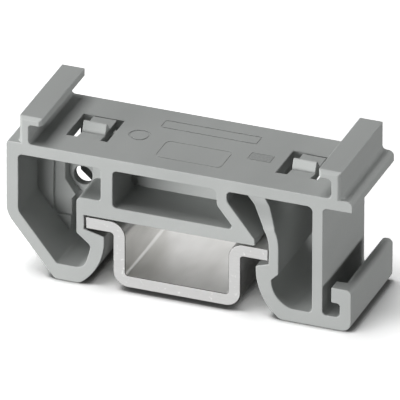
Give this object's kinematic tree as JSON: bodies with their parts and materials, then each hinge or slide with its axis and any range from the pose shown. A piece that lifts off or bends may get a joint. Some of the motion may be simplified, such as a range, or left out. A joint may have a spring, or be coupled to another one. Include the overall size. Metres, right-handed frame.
{
  "type": "din rail mounting foot",
  "caption": "Clip-on plastic foot with a fixed jaw, a sprung latch hook and a lipped channel on top, on a short length of mini top-hat rail.",
  "frame": {"origin": "middle of the rail seat, the underside of the web that lies on the rail, halfway through the depth of the foot", "axes": "+X across the rail from the fixed jaw to the latch, +Y along the rail, +Z away from the wall that the rail is screwed to"},
  "size_m": [0.0285, 0.0092, 0.0137],
  "materials": {
    "grey_polyamide": "moulded, satin, fine texture",
    "rail_metal": "bright zinc, sawn ends"
  },
  "bodies": {
    "foot": {"mounting_foot": "grey_polyamide"},
    "rail": {"rail_section": "rail_metal"}
  },
  "joints": [
    {"name": "rail_slide", "type": "slide", "parent": "foot", "child": "rail", "axis": [0, 1, 0], "range_m": [-0.006, 0.006]}
  ]
}
